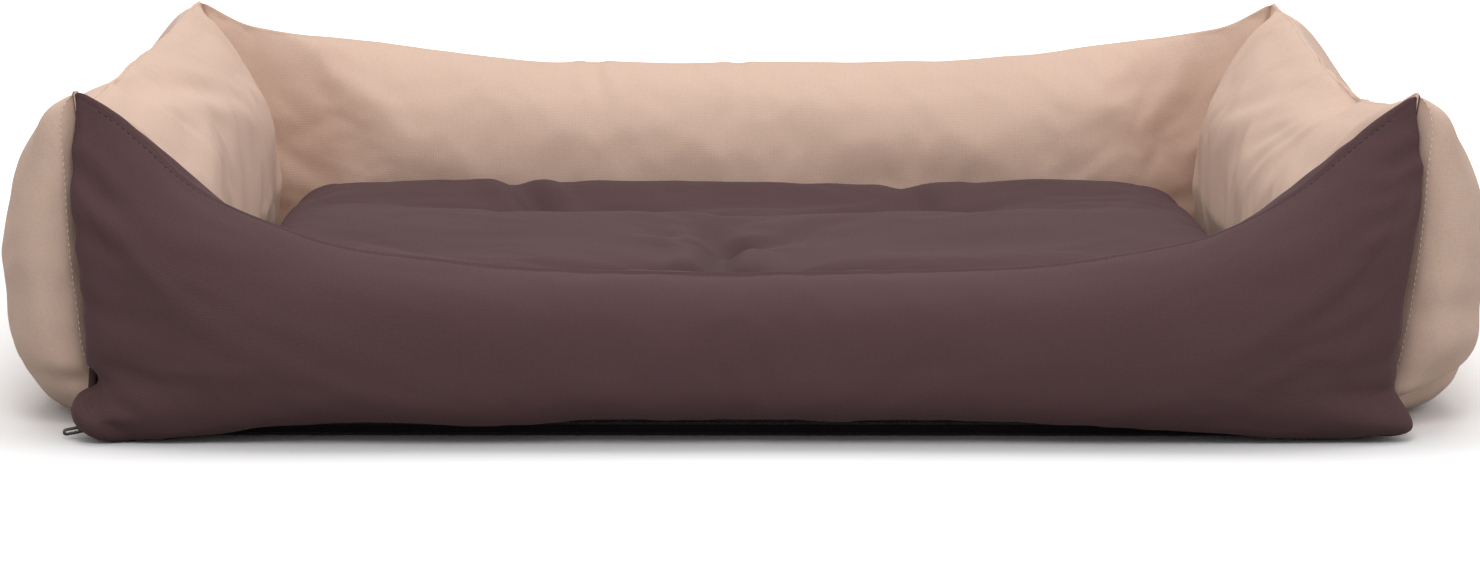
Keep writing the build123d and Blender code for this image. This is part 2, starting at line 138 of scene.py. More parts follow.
class Wall:
    """One stuffed wall, with the curves that its mesh follows."""

    def __init__(self, name, middle, along, half_length, bulge, ridges, inner, outer, foot,
                 puffs=(0, 0), slopes=None, tucks=(0, 0), fullness=(0.75, 0.75), crowns=(0, 0), ease=80.0,
                 waist=0.45):
        self.name = name
        self.middle = np.array(middle, float)
        self.along = np.array(along, float)
        self.outward = np.cross(self.along, (0, 0, 1))
        self.half_length = half_length
        self.bulge = bulge
        self.ridges = [curve(RIDGES[r]) for r in ridges]
        self.seams = [curve(INNER_SEAMS[s], 6.0) for s in inner]
        self.outer_seams = [curve(OUTER_SEAMS[s], 3.0) for s in outer]
        self.foot = foot
        self.puffs = puffs
        self.slopes = slopes
        self.tucks = tucks
        self.fullness = fullness
        self.crowns = crowns
        self.ease = ease
        self.waist = waist

    def places(self):
        """Stations along the wall, close together at the corners."""
        steps = [0.0]
        step = FIRST_STEP
        while steps[-1] < self.half_length:
            steps.append(steps[-1] + step)
            step = min(step * STEP_GROWTH, LONGEST_STEP)
        half = np.array(steps) * self.half_length / steps[-1]
        return np.concatenate([half - self.half_length, (self.half_length - half)[-2::-1]])

    def corner_distance(self):
        """Distance of each station from the nearer corner."""
        return self.half_length - np.abs(self.places())

    def outer_line(self, s, end, d, height):
        """Outer face where the wall is full: from the ridge to the widest line, the foot and its edge."""
        waist = self.waist * height
        upper = np.linspace(math.pi / 2, 0, 240)
        boxy = 2 / (2.9 - 0.35 * self.crowns[end])
        out_full = self.bulge * np.cos(upper) ** boxy
        z_full = waist + (height - waist) * np.sin(upper) ** boxy
        if self.slopes:
            # Away from its corners the cloth leaves the pinched ridge at a slope
            slope, start = self.slopes[end]
            sloped = float(smooth((d - start) / SLOPE_BLEND))
            t = np.linspace(0, 1, 240)
            near, far = 3 * t * (1 - t) ** 2, 3 * t ** 2 * (1 - t)
            lead, tail = 0.33 * self.bulge, 0.52 * (height - waist)
            slope = math.radians(slope)
            out_sloped = near * lead * math.cos(slope) + (far + t ** 3) * self.bulge
            z_sloped = ((1 - t) ** 3 * height + near * (height - lead * math.sin(slope))
                        + far * (waist + tail) + t ** 3 * waist)
            out_full = out_full + (out_sloped - out_full) * sloped
            z_full = z_full + (z_sloped - z_full) * sloped
        foot_out, foot_z, edge = self.foot(s)
        lower = np.linspace(0, math.pi / 2, 160)[1:]
        out_low = foot_out + (self.bulge - foot_out) * np.cos(lower) ** 0.95
        z_low = waist - (waist - foot_z) * np.sin(lower) ** 0.92
        turn = np.linspace(0, 1, 40)[1:]
        out_turn = foot_out + (edge[0] - foot_out) * turn
        z_turn = foot_z + (edge[1] - foot_z) * turn ** 2
        return np.stack([np.concatenate([out_full, out_low, out_turn]),
                         np.concatenate([z_full, z_low, z_turn])], 1)

    def fuller(self, swell, end, d, where, level):
        """The share of the full form with the crown and the puff of an end."""
        puff, crown = self.puffs[end], self.crowns[end]
        if crown:
            fast = float(math.sin(min(1.0, d / CROWN_RISE) * math.pi / 2) ** 0.5)
            swell = swell + (fast - swell) * crown * np.exp(-(where / CROWN_REACH) ** 2)
        if puff:
            fast = float(math.sin(min(1.0, d / PUFF_RISE[end]) * math.pi / 2) ** 0.55)
            low = (1 - smooth((level - PUFF_TOP[end]) / PUFF_FADE)) * puff
            swell = swell + (fast - swell) * low
        return swell

    def outer_face(self, s, end, d, height):
        """Outer face, pinched to the seam at a corner: out, z and the run along the full form."""
        line, where = resample(self.outer_line(s, end, d, height), FINE_STEPS, OUTER_COUNT)
        swell = float(math.sin(min(1.0, d / SWELL_REACH) * math.pi / 2) ** self.fullness[end])
        share = where / where[-1]
        z_pinched = height - (height - CORNER_FOOT) * share
        out_pinched = -self.outer_seams[end](z_pinched)
        level = z_pinched + (line[:, 1] - z_pinched) * swell
        swell = self.fuller(swell, end, d, where, level)
        out = out_pinched + (line[:, 0] - out_pinched) * swell
        z = z_pinched + (line[:, 1] - z_pinched) * swell
        if self.tucks[end]:
            low = 1 - smooth(level / TUCK_TOP)
            out = out - self.tucks[end] * low * float(np.exp(-((d - TUCK_PLACE) / TUCK_WIDTH) ** 2))
        return out, z, where

    def inner_face(self, end, d, height):
        """Inner face, from the ridge down to the base: rows of (out, z), and the run along them."""
        widest_z = INNER_WIDEST * height
        climb = np.linspace(math.pi / 2, 0, 240)
        hard = 1.9 - 1.05 * float(smooth(d / INNER_CHANGE))
        z_in = widest_z + (height - widest_z) * np.sin(climb) ** hard
        in_full = INNER_BULGE * np.cos(climb) ** 0.95
        rise = np.linspace(math.pi / 2, 0, 100)[1:]
        z_in = np.concatenate([z_in, FLOOR_LIFT + (widest_z - FLOOR_LIFT) * np.sin(rise)])
        in_full = np.concatenate([in_full, (INNER_BULGE - INNER_CUT) + INNER_CUT * np.sin(rise) ** 0.9])
        in_seam = self.seams[end](np.clip(z_in * PEAK / height, 0, PEAK))
        inward = in_seam + (in_full - in_seam) * float(smooth(d / self.ease))
        return resample(np.stack([-inward, z_in], 1), FINE_STEPS, INNER_COUNT)

    def section(self, s):
        """Closed section at a place: rows of (out, z), from the ridge out, down, under and up inside."""
        end = int(s > 0)
        d = self.half_length - abs(s)
        height = float(self.ridges[end](d))
        out, z, where = self.outer_face(s, end, d, height)
        inner, where_in = self.inner_face(end, d, height)
        reach = min(1.0, d / SEAM_START)
        z = z - GROOVE_DEPTH * reach * np.exp(-((where - GROOVE_PLACE) / GROOVE_WIDTH) ** 2)
        hem = HEM_HEIGHT * reach * np.exp(-((where_in - HEM_PLACE) / HEM_WIDTH) ** 2)
        inner[:, 1] += hem
        z[0] += hem[0]
        heel = np.linspace(0, 1, HEEL_COUNT)[1:-1]
        out_heel = out[-1] + (inner[-1, 0] - out[-1]) * heel
        z_heel = z[-1] + (inner[-1, 1] - z[-1]) * smooth(heel * 2.5)
        ring_out = np.concatenate([out, out_heel, inner[:0:-1, 0]])
        ring_z = np.concatenate([z, z_heel, inner[:0:-1, 1]])
        return np.stack([ring_out, ring_z], 1)

    def across(self, s):
        """Direction of a section, which fans out to the mitre at the corners, and its stretch."""
        end = 1 if s > 0 else -1
        d = self.half_length - abs(s)
        angle = end * math.radians(45) * (1 - float(smooth(d / FAN_REACH)))
        direction = self.outward * math.cos(angle) + self.along * math.sin(angle)
        return direction, 1 / math.cos(angle)

    def grid(self):
        """All ring points."""
        rows = []
        for s in self.places():
            ring = self.section(s)
            direction, stretch = self.across(s)
            base = self.middle + self.along * s
            rows.append(base + direction * (ring[:, :1] * stretch) + np.outer(ring[:, 1], (0, 0, 1)))
        return np.array(rows)


def rolled_foot(s):
    """Foot of a side or back wall, flat on the base: its lowest point (out, height) and its edge."""
    return 22.0, 1.6, (-4.0, 2.6)


FRONT_LIP = curve([(-438, 1.5), (-400, 1.5), (-360, 4), (-311, 12), (-230, 13), (-158, 12), (-94, 17),
                   (-43, 14), (0, 15), (80, 14.5), (163, 14), (264, 10), (330, 5), (360, 3), (400, 2),
                   (438, 2)], 12.0)


def front_foot(s):
    """Foot of the front wall, whose lip hangs a little over the zip, given the same way."""
    return 24.0, float(FRONT_LIP(s)), (8.2, 15.8)


WALLS = [
    Wall("front_wall", (0, -HALF_Y, 0), (1, 0, 0), HALF_X, 55.0, ("front_left", "front_right"),
         ("left", "right"), ("front_left", "front_right"), front_foot, puffs=(0.9, 0.75)),
    Wall("right_wall", (HALF_X, 0, 0), (0, 1, 0), HALF_Y, 62.5, ("right_front", "right_back"),
         ("right", "right"), ("front_right", "back"), rolled_foot, slopes=((46, 130), (48, 10)),
         tucks=(24, 0), fullness=(0.62, 0.75), crowns=(0.85, 0), waist=0.51),
    Wall("back_wall", (0, HALF_Y, 0), (-1, 0, 0), HALF_X, 55.0, ("back", "back"),
         ("right", "left"), ("back", "back"), rolled_foot, slopes=((30, 5), (30, 5)), ease=165.0),
    Wall("left_wall", (-HALF_X, 0, 0), (0, -1, 0), HALF_Y, 62.5, ("left_back", "left_front"),
         ("left", "left"), ("back", "front_left"), rolled_foot, slopes=((48, 10), (46, 130)),
         tucks=(0, 15), fullness=(0.75, 0.62), crowns=(0, 0.85)),
]


def ring_faces(rows, count):
    """Quads of a tube of rings."""
    faces = []
    for i in range(rows - 1):
        for j in range(count):
            k = (j + 1) % count
            faces.append((i * count + j, (i + 1) * count + j, (i + 1) * count + k, i * count + k))
    return faces


def make_mesh(name, points, faces, uvs=None):
    """A mesh object from points in millimetres."""
    mesh = bpy.data.meshes.new(name)
    mesh.from_pydata((np.asarray(points) * MM).tolist(), [], faces)
    if uvs is not None:
        layer = mesh.uv_layers.new(name="cloth")
        loops = np.zeros(len(mesh.loops), np.int64)
        mesh.loops.foreach_get("vertex_index", loops)
        layer.data.foreach_set("uv", np.asarray(uvs, np.float32)[loops].ravel())
    mesh.polygons.foreach_set("use_smooth", [True] * len(mesh.polygons))
    mesh.update()
    made = bpy.data.objects.new(name, mesh)
    bpy.context.scene.collection.objects.link(made)
    return made


def set_points(mesh, grid):
    """Moves the first points of a mesh to the places of a grid in millimetres."""
    flat = np.zeros(len(mesh.vertices) * 3)
    mesh.vertices.foreach_get("co", flat)
    flat[:grid.size] = grid.ravel() * MM
    mesh.vertices.foreach_set("co", flat)
    mesh.update()


def crease_rings(mesh, rings):
    """Keeps the edges between neighbours of a ring sharp under subdivision."""
    wanted = {frozenset(pair) for ring in rings for pair in zip(ring, ring[1:] + ring[:1])}
    ends = np.zeros(len(mesh.edges) * 2, np.int64)
    mesh.edges.foreach_get("vertices", ends)
    sharp = [float(frozenset((int(a), int(b))) in wanted) for a, b in ends.reshape(-1, 2)]
    mesh.attributes.new("crease_edge", "FLOAT", "EDGE").data.foreach_set("value", sharp)


def grid_normals(grid):
    """Outward normals of a ring grid."""
    along = np.gradient(grid, axis=0)
    around = np.roll(grid, -1, 1) - np.roll(grid, 1, 1)
    normal = np.cross(around, along)
    return normal / np.maximum(np.linalg.norm(normal, axis=2, keepdims=True), 1e-9)


def distance_to_path(points, path):
    """Distance of each point to a line of points, and how far along it the nearest place lies."""
    best = np.full(points.shape[:-1], 1e9)
    share = np.zeros(points.shape[:-1])
    path = np.asarray(path, float)
    spans = np.linalg.norm(np.diff(path, axis=0), axis=1)
    total, run = spans.sum(), 0.0
    for start, stop, span in zip(path[:-1], path[1:], spans):
        way = (stop - start) / span
        t = np.clip((points - start) @ way, 0, span)
        gap = np.linalg.norm(points - (start + t[..., None] * way), axis=-1)
        near = gap < best
        best = np.where(near, gap, best)
        share = np.where(near, (run + t) / total, share)
        run += span
    return best, share


def press_fold(grid, side, axis, path, depth, width, open_start):
    """Presses a fold into one side of a wall's grid along a path seen from that side."""
    seen = grid[..., [axis, 2]]
    gap, share = distance_to_path(seen, path)
    fade = np.sin(np.clip(share, 0.02, 0.98) * math.pi) ** 0.6
    if open_start:
        fade = np.cos(np.clip(share, 0, 0.99) * math.pi / 2) ** 0.8
    profile = np.exp(-(gap / width) ** 2) - 0.4 * np.exp(-((gap - 2.1 * width) / width) ** 2)
    ring = np.arange(grid.shape[1])
    mask = (ring < OUTER_COUNT) if side == "outer" else (ring > OUTER_COUNT + HEEL_COUNT)
    sewn = np.arange(grid.shape[0])
    free = smooth(np.minimum(sewn, sewn[::-1]) / 4)[:, None]
    return grid - grid_normals(grid) * (depth * fade * profile * mask * free)[..., None]


def wave_noise(points, size, seed, octaves=3):
    """Smooth noise of about unit height from sums of waves, the same on each run."""
    rng = np.random.default_rng(seed)
    total = np.zeros(points.shape[:-1])
    weight = 0.0
    for octave in range(octaves):
        for _ in range(7):
            way = rng.normal(size=3)
            way /= np.linalg.norm(way)
            phase = rng.uniform(0, 2 * math.pi)
            total += np.sin(points @ way * (2 * math.pi * 2 ** octave / size) + phase) / 2 ** octave
        weight += 1 / 2 ** octave
    return total / (weight * math.sqrt(7 / 2) * 1.4)


# Folds: wall, side of it, path as (place along the wall, height), depth, width, open at its start
FOLDS = [
    ("front_wall", "outer", [(-427, 35), (-413, 29), (-390, 16)], 8.5, 6.5, True),
    ("front_wall", "outer", [(-424, 22), (-412, 12), (-397, 4)], 7.0, 5.0, True),
    ("front_wall", "outer", [(-427, 44), (-405, 50), (-375, 48)], 4.0, 8.0, True),
    ("front_wall", "outer", [(434, 190), (416, 180), (404, 178)], 4.0, 5.0, True),
    ("front_wall", "outer", [(434, 178), (414, 165), (400, 160)], 4.0, 5.5, True),
    ("front_wall", "outer", [(434, 168), (418, 150), (396, 140)], 3.5, 5.5, True),
    ("front_wall", "outer", [(428, 60), (405, 50), (380, 48)], 1.6, 6.0, True),
    ("front_wall", "outer", [(-434, 178), (-415, 160), (-396, 152)], 3.0, 6.0, True),
    ("front_wall", "outer", [(-432, 140), (-412, 128), (-385, 122)], 1.8, 6.0, True),
    ("front_wall", "outer", [(-428, 92), (-405, 84), (-372, 80)], 1.8, 6.0, True),
    ("left_wall", "outer", [(-340, 34), (-325, 32), (-300, 36)], 4.0, 6.0, True),
    ("left_wall", "outer", [(-341, 96), (-310, 90), (-250, 92)], 1.0, 9.0, True),
    ("left_wall", "outer", [(-340, 22), (-322, 16), (-300, 14)], 3.0, 5.0, True),
    ("right_wall", "outer", [(-338, 10), (-312, 20), (-270, 34), (-235, 42)], 9.0, 7.0, True),
    ("right_wall", "outer", [(-340, 84), (-300, 78), (-250, 80)], 1.6, 9.0, True),
    ("right_wall", "inner", [(-110, 203), (0, 198), (92, 189)], 3.2, 6.0, True),
    ("right_wall", "inner", [(-105, 199), (40, 184), (178, 157)], 3.4, 7.0, True),
    ("right_wall", "inner", [(-118, 199), (-40, 182), (50, 165)], 2.6, 6.0, True),
    ("right_wall", "inner", [(-130, 197), (-70, 178), (-8, 151)], 3.4, 6.5, True),
    ("right_wall", "inner", [(-135, 197), (-90, 168), (-43, 130)], 3.0, 6.5, True),
    ("right_wall", "inner", [(-150, 197), (-130, 165), (-115, 130)], 2.4, 6.5, True),
    ("left_wall", "inner", [(-174, 212), (-140, 203), (-100, 190)], 2.4, 6.0, True),
    ("left_wall", "inner", [(-160, 211), (-60, 200), (60, 184)], 2.6, 7.0, True),
    ("left_wall", "inner", [(-180, 208), (-150, 190), (-125, 160)], 2.4, 6.5, True),
    ("left_wall", "inner", [(-120, 212), (20, 190), (161, 160)], 2.4, 8.0, True),
    ("back_wall", "inner", [(-116, 178), (-113, 164), (-108, 148)], 3.0, 5.0, True),
    ("back_wall", "inner", [(1, 177), (3, 160), (4, 142)], 2.2, 4.5, True),
    ("back_wall", "inner", [(-300, 70), (-240, 82), (-180, 74)], 2.0, 12.0, False),
    ("back_wall", "inner", [(60, 78), (130, 92), (210, 84)], 2.0, 14.0, False),
]


def blur(field, reach, axis, closed):
    """A field smoothed along one axis of its grid."""
    half = int(3 * reach)
    kernel = np.exp(-0.5 * (np.arange(-half, half + 1) / reach) ** 2)
    kernel /= kernel.sum()
    pad = [(0, 0)] * field.ndim
    pad[axis] = (half, half)
    wide = np.pad(field, pad, mode="wrap" if closed else "edge")
    steps = field.shape[axis]
    total = np.zeros_like(field)
    for k, weight in enumerate(kernel):
        total += weight * np.take(wide, range(k, k + steps), axis=axis)
    return total


def settle(pieces, frames=16):
    """Runs the cloth of stuffed pieces, a little larger than its form, and gives back how it moved."""
    for piece, held, pressure, spare in pieces:
        group = piece.vertex_groups.new(name="sewn")
        group.add([int(v) for v in held], 1.0, "REPLACE")
        cloth = piece.modifiers.new("settling", "CLOTH")
        cloth.settings.quality = 4
        cloth.settings.mass = 0.4
        cloth.settings.tension_stiffness = 18
        cloth.settings.compression_stiffness = 18
        cloth.settings.shear_stiffness = 6
        cloth.settings.bending_stiffness = 0.15
        cloth.settings.vertex_group_mass = "sewn"
        cloth.settings.use_pressure = True
        cloth.settings.uniform_pressure_force = pressure
        cloth.settings.shrink_min = -spare
        cloth.settings.effector_weights.gravity = 0
        cloth.collision_settings.use_collision = False
        cloth.point_cache.frame_start = 1
        cloth.point_cache.frame_end = frames
    for step in range(1, frames + 1):
        bpy.context.scene.frame_set(step)
    graph = bpy.context.evaluated_depsgraph_get()
    moves = []
    for piece, held, pressure, spare in pieces:
        before = np.zeros(len(piece.data.vertices) * 3)
        after = np.zeros(len(piece.data.vertices) * 3)
        piece.data.vertices.foreach_get("co", before)
        piece.evaluated_get(graph).data.vertices.foreach_get("co", after)
        moves.append((after - before).reshape(-1, 3) / MM)
    for piece, *_ in pieces:
        piece.modifiers.remove(piece.modifiers["settling"])
        piece.vertex_groups.remove(piece.vertex_groups["sewn"])
    bpy.context.scene.frame_set(1)
    return moves


def wall_mesh(name, grid):
    """The mesh of a wall: its tube of rings, closed by a fan at either end."""
    rows, count = grid.shape[:2]
    lengths = running_length(grid[:, 40])
    rounds = running_length(grid[rows // 2])
    uvs = np.stack(np.broadcast_arrays(lengths[:, None] * MM, rounds[None, :] * MM), 2).reshape(-1, 2)
    faces = ring_faces(rows, count)
    caps = []
    end_rings = []
    for ring in (0, rows - 1):
        caps.append(grid[ring].mean(0))
        index = rows * count + len(caps) - 1
        around = [ring * count + j for j in range(count)]
        end_rings.append(around)
        for pair in zip(around, around[1:] + around[:1]):
            faces.append((index, *pair) if ring == 0 else (index, *pair[::-1]))
    points = np.concatenate([grid.reshape(-1, 3), caps])
    made = make_mesh(name, points, faces, np.concatenate([uvs, np.zeros((2, 2))]))
    crease_rings(made.data, end_rings)
    return made


RING = OUTER_COUNT + HEEL_COUNT - 2 + INNER_COUNT - 1
CALM_REACH = 60.0
wall_objects = {}
wall_grids = {}
for number, wall in enumerate(WALLS):
    grid = wall.grid()
    calm = smooth(wall.corner_distance() / CALM_REACH)[:, None]
    wobble = wave_noise(grid, 260.0, 10 + number) * 1.6 + wave_noise(grid, 90.0, 20 + number) * 0.6
    grid = grid + grid_normals(grid) * (wobble * calm)[..., None]
    wall_objects[wall.name] = wall_mesh(wall.name, grid)
    wall_grids[wall.name] = grid

# Loose cushion: crowned, drawn in between its corners, pulled down at three tufts
CUSHION_X, CUSHION_Y = 357.0, 262.0
CUSHION_SEAM, CUSHION_FOOT = 46.0, 2.1
TUFTS = [(-145.8, 131.8), (145.8, 131.8), (0.0, -131.8)]
TUFT_EYE = 75.0
# Width of the dip and depth of the hollow around it, for the back and front tufts, and the hollow's width
BACK_TUFT, FRONT_TUFT, TUFT_HOLLOW = (13, 4), (7, 1), 45
# Points across and from front to back, how they crowd to the seam, and how square its outline is
CUSHION_COUNT, CROWDING = (141, 113), 0.97
SQUARE_X, SQUARE_Y = 38, 24

# Height of the upper cloth along lines from left to right, whose places from front to back LINES gives
CREST = curve([(-354, 96), (-300, 101), (-250, 104), (-197, 106), (-162, 106), (-141, 103.5), (-88, 102.5),
               (-29, 102), (5, 98), (38, 100.5), (88, 101), (117, 103), (145, 105), (174, 106), (223, 104),
               (280, 102), (354, 96)], 8.0)
VALLEY = curve([(-354, 95), (-260, 93), (-200, 85), (-146, 78), (-60, 80), (0, 82), (70, 80), (146, 79),
                (200, 87), (260, 94), (354, 94)], 14.0)
RIM = curve([(-354, 87), (-330, 92), (-305, 94.5), (-260, 95.5), (-170, 97.5), (-46, 98), (16, 95),
             (115, 94), (130, 93), (150, 95), (166, 96), (237, 98), (300, 95), (332, 91), (354, 89)], 7.0)
LINES = [(-262, lambda x: 0 * x + 97), (-150, lambda x: 0 * x + 98), (-25, CREST), (131, VALLEY), (228, RIM),
         (262, RIM)]

# Folds of the upper cloth: path in plan, depth and width; puffs: place, reach and height
CUSHION_FOLDS = [
    ([(-146, 132), (-162, 185), (-184, 246)], 10.0, 10.0),
    ([(146, 132), (137, 185), (126, 240)], 5.0, 10.0),
    ([(-22, -270), (-17, -190), (-15, -131), (-22, -90), (-24, -48)], 14.0, 10.0),
    ([(-34, -150), (-58, -100), (-80, -44)], 3.0, 8.0),
    ([(8, -128), (34, -104), (52, -60)], 3.0, 9.0),
    ([(-146, 132), (-100, 140), (-40, 128)], 3.0, 10.0),
    ([(-146, 132), (-215, 140), (-270, 120)], 3.0, 10.0),
    ([(146, 132), (90, 138), (30, 124)], 3.0, 10.0),
    ([(146, 132), (210, 150), (262, 170)], 3.0, 10.0),
]
CUSHION_PUFFS = [(-50, -128, 20, 5.0), (10, -100, 20, 3.0), (182, 196, 34, 3.0), (-215, 190, 40, 2.0)]


def cushion_plan(counts):
    """Places over the cushion, and its share of its full height there, which is 0 at the seam."""
    a, b = (np.sin(np.linspace(-1, 1, count) * math.pi / 2 * CROWDING) / math.sin(math.pi / 2 * CROWDING)
            for count in counts)
    a, b = np.meshgrid(a, b, indexing="ij")
    x = a * (CUSHION_X - 4 * (1 - b ** 2) * np.abs(a) ** 3)
    y = b * (CUSHION_Y - 8 * (1 - a ** 2) * np.abs(b) ** 3)
    edge = (1 - np.abs(a) ** SQUARE_X) ** 0.5 * (1 - np.abs(b) ** SQUARE_Y) ** 0.5
    return x, y, edge


def cushion_top(x, y, edge):
    """Height of the cushion's upper cloth."""
    full = LINES[0][1](x)
    for (start, low), (stop, high) in zip(LINES[:-1], LINES[1:]):
        here = y >= start
        full = np.where(here, low(x) + (high(x) - low(x)) * smooth((y - start) / (stop - start)), full)
    z = CUSHION_SEAM + (full - CUSHION_SEAM) * edge
    plan = np.stack([x, y], 2)
    for path, depth, width in CUSHION_FOLDS:
        gap, share = distance_to_path(plan, path)
        fade = np.cos(share * math.pi / 2) ** 0.7 * smooth(share / 0.08 + 0.2)
        profile = np.exp(-(gap / width) ** 2) - 0.35 * np.exp(-((gap - 2.2 * width) / width) ** 2)
        z = z - edge * depth * fade * profile
    for centre_x, centre_y, reach, height in CUSHION_PUFFS:
        z = z + edge * height * np.exp(-((x - centre_x) ** 2 + (y - centre_y) ** 2) / reach ** 2)
    for centre_x, centre_y in TUFTS:
        r = np.hypot(x - centre_x, y - centre_y)
        tight, around = BACK_TUFT if centre_y > 0 else FRONT_TUFT
        dip = np.exp(-(r / tight) ** 1.2)
        z = z - np.maximum(z - TUFT_EYE, 0) * dip - around * np.exp(-(r / TUFT_HOLLOW) ** 2) * (1 - dip)
    return z


x, y, edge = cushion_plan(CUSHION_COUNT)
top = cushion_top(x, y, edge)
bottom = CUSHION_SEAM - (CUSHION_SEAM - CUSHION_FOOT) * np.minimum(1, 1.35 * edge)
upper = np.stack([x, y, top], 2)
lower = np.stack([x, y, bottom], 2)
upper[..., 2] += wave_noise(upper, 120.0, 5) * edge
across, deep = CUSHION_COUNT
top_index = np.arange(across * deep).reshape(across, deep)
inside = np.zeros((across, deep), bool)
inside[1:-1, 1:-1] = True
low_index = top_index.copy()
low_index[inside] = across * deep + np.arange(inside.sum())
faces = []
for i in range(across - 1):
    for j in range(deep - 1):
        faces.append((top_index[i, j], top_index[i + 1, j], top_index[i + 1, j + 1], top_index[i, j + 1]))
        faces.append((low_index[i, j], low_index[i, j + 1], low_index[i + 1, j + 1], low_index[i + 1, j]))
points = np.concatenate([upper.reshape(-1, 3), lower[inside]])
uvs = points[:, :2] * MM
cushion = make_mesh("cushion", points, [tuple(int(v) for v in f) for f in faces], uvs)

# The cloth settles between its seams, and only its wrinkles are kept: share in the middle and at the ends
KEPT = {"front_wall": (0.16, 0.45), "right_wall": (0.35, 0.4), "back_wall": (0.22, 0.35),
        "left_wall": (0.35, 0.45)}
KEPT_REACH = 110.0
# Share that stays on the outer faces of the pale walls, and the highest wrinkle of a wall and of the cushion
KEPT_OUTSIDE = 0.35
WRINKLE_LIMIT, CUSHION_LIMIT = 3, 2.5
# Pressure in the stuffing and spare cloth, and how far around its eye a tuft holds the cloth
WALL_STUFFING, CUSHION_STUFFING = (2.5, 0.035), (2.0, 0.03)
TUFT_HOLD = 9
# Dip of a wall's face at its corner seams, and the lowest that its cloth hangs
SEAM_DIP, SEAM_WIDTH = 2.8, 2.1
LOWEST = 0.6


def sewn_points(grid):
    """Points of a wall that its seams and the strip under it hold."""
    index = np.arange(grid.shape[0] * RING).reshape(-1, RING)
    held = np.zeros(index.shape, bool)
    held[:2] = held[-2:] = True
    held[:, :2] = held[:, -1:] = True
    held[:, OUTER_COUNT - 1:OUTER_COUNT + HEEL_COUNT] = True
    return index[held]


def wall_wrinkles(wall, grid, move):
    """How far the fine wrinkles of a settled wall stand out."""
    along_normal = (move * grid_normals(grid)).sum(2)
    broad = blur(blur(along_normal, 7, 0, False), 7, 1, True)
    fine = along_normal - broad
    middle, ends = KEPT[wall.name]
    depth = middle + (ends - middle) * np.exp(-(wall.corner_distance() / KEPT_REACH) ** 2)
    outside = 1.0 if wall.name == "front_wall" else KEPT_OUTSIDE
    side = np.where(np.arange(RING) < OUTER_COUNT, outside, 1.0)
    return np.clip(fine * depth[:, None] * side, -WRINKLE_LIMIT, WRINKLE_LIMIT)


wrinkles = {}
pieces = []
for name, piece in wall_objects.items():
    caps = [len(piece.data.vertices) - 2, len(piece.data.vertices) - 1]
    pieces.append((piece, np.concatenate([sewn_points(wall_grids[name]), caps]), *WALL_STUFFING))
held = ~inside
for centre_x, centre_y in TUFTS:
    held |= np.hypot(x - centre_x, y - centre_y) < TUFT_HOLD
below = np.arange(across * deep, len(cushion.data.vertices))
pieces.append((cushion, np.concatenate([top_index[held], below]), *CUSHION_STUFFING))
moves = settle(pieces)
rise = moves[-1][:across * deep, 2].reshape(across, deep)
rise = rise - blur(blur(rise, 6, 0, False), 6, 1, False)
upper[..., 2] += np.clip(rise * 0.5, -CUSHION_LIMIT, CUSHION_LIMIT) * edge
set_points(cushion.data, upper)
for wall, move in zip(WALLS, moves):
    grid = wall_grids[wall.name]
    wrinkles[wall.name] = wall_wrinkles(wall, grid, move[:-2].reshape(grid.shape))

for wall in WALLS:
    grid = wall_grids[wall.name]
    normals = grid_normals(grid)
    if wall.name in wrinkles:
        grid = grid + normals * wrinkles[wall.name][..., None]
    seam_dip = SEAM_DIP * np.exp(-(wall.corner_distance() / SEAM_WIDTH) ** 2)[:, None]
    grid = grid - normals * seam_dip[..., None] * smooth((grid[..., 2] - 6) / 10)[..., None]
    axis = 0 if abs(wall.along[0]) > 0.5 else 1
    for name, side, path, depth, width, open_start in FOLDS:
        if name == wall.name:
            grid = press_fold(grid, side, axis, path, depth, width, open_start)
    grid[..., 2] = np.maximum(grid[..., 2], LOWEST)
    set_points(wall_objects[wall.name].data, grid)
    wall_grids[wall.name] = grid


def colour(red, green, blue):
    """A display colour from 0 to 255 as the linear value that the shader takes."""
    shares = [c / 255 for c in (red, green, blue)]
    return [c / 12.92 if c <= 0.04045 else ((c + 0.055) / 1.055) ** 2.4 for c in shares] + [1.0]


def new_material(name):
    """A material, with its nodes, its links and its shader."""
    made = bpy.data.materials.new(name)
    made.use_nodes = True
    nodes, links = made.node_tree.nodes, made.node_tree.links
    return made, nodes, links, nodes["Principled BSDF"]


def noise(nodes, links, place, scale, detail):
    """Soft noise from 0 to 1 over the places given."""
    made = nodes.new("ShaderNodeTexNoise")
    made.inputs["Scale"].default_value = scale
    made.inputs["Detail"].default_value = detail
    links.new(place, made.inputs["Vector"])
    return made.outputs["Fac"]


def ranged(nodes, links, source, low, high):
    """A value from 0 to 1 brought into a range."""
    level = nodes.new("ShaderNodeMapRange")
    level.inputs["To Min"].default_value = low
    level.inputs["To Max"].default_value = high
    links.new(source, level.inputs["Value"])
    return level.outputs["Result"]


def shaded(nodes, links, base, shade):
    """A colour, given as numbers or by a socket, times a shade."""
    mix = nodes.new("ShaderNodeMix")
    mix.data_type = "RGBA"
    mix.blend_type = "MULTIPLY"
    mix.inputs["Factor"].default_value = 1.0
    if isinstance(base, list):
        mix.inputs[6].default_value = base
    else:
        links.new(base, mix.inputs[6])
    links.new(shade, mix.inputs[7])
    return mix.outputs[2]


def add_relief(nodes, links, shader, height, strength, distance):
    """Fine relief on a shader."""
    bump = nodes.new("ShaderNodeBump")
    bump.inputs["Strength"].default_value = strength
    bump.inputs["Distance"].default_value = distance
    links.new(height, bump.inputs["Height"])
    links.new(bump.outputs["Normal"], shader.inputs["Normal"])


